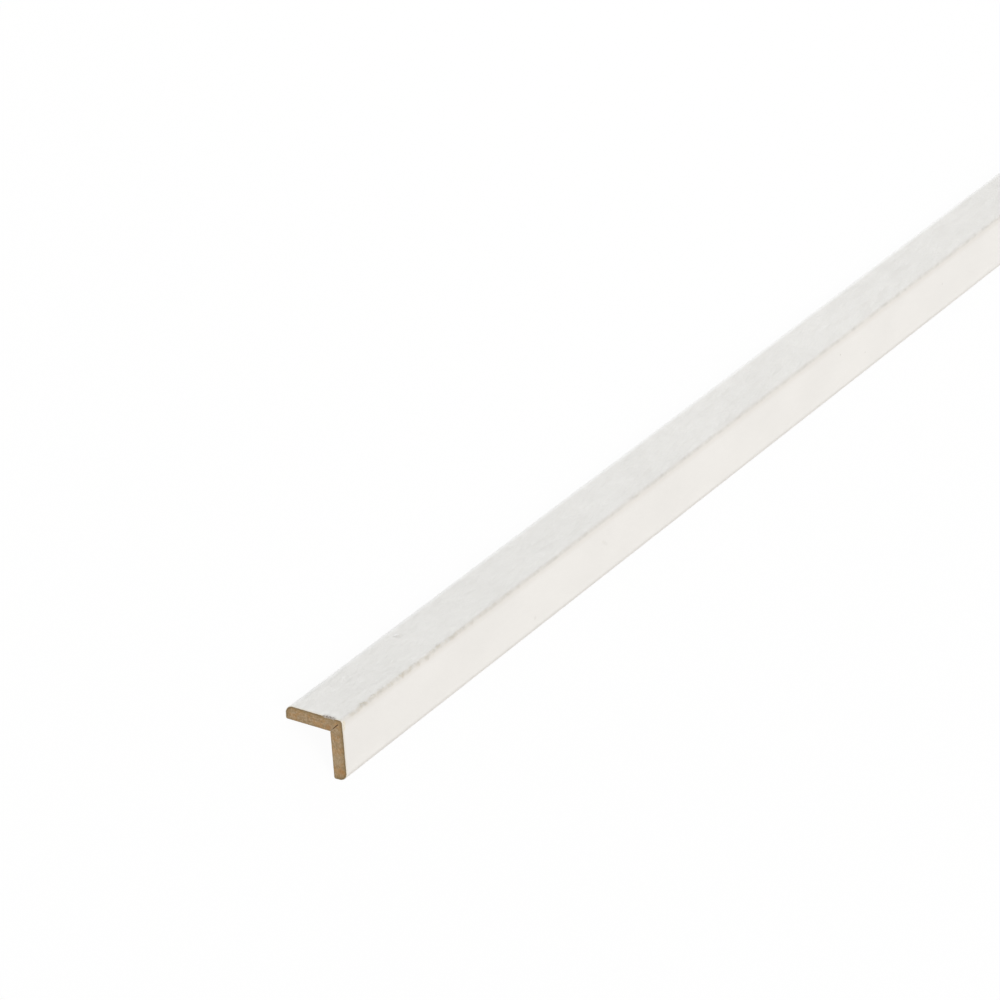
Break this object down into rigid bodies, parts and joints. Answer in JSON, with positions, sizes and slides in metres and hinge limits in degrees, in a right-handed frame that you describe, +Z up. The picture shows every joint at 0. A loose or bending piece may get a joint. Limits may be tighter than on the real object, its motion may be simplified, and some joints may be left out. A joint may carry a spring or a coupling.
{
  "type": "corner guard moulding",
  "caption": "Long right-angled moulding of white-painted fibreboard, V-grooved and folded to an equal-legged angle with rounded free edges, that covers and guards an outside wall corner.",
  "frame": {"origin": "on the floor under the middle of the stock, below the fold", "axes": "Y along the length with the pictured end at -Y, Z up through the fold, X across from one free edge to the other"},
  "size_m": [0.0286, 2.4, 0.0184],
  "materials": {
    "painted_fibreboard": "satin white coat on the outside faces and the rounded free edges, bare brown fibreboard on the sawn ends and the back"
  },
  "bodies": {
    "root": {"corner_moulding": "painted_fibreboard"}
  },
  "joints": []
}
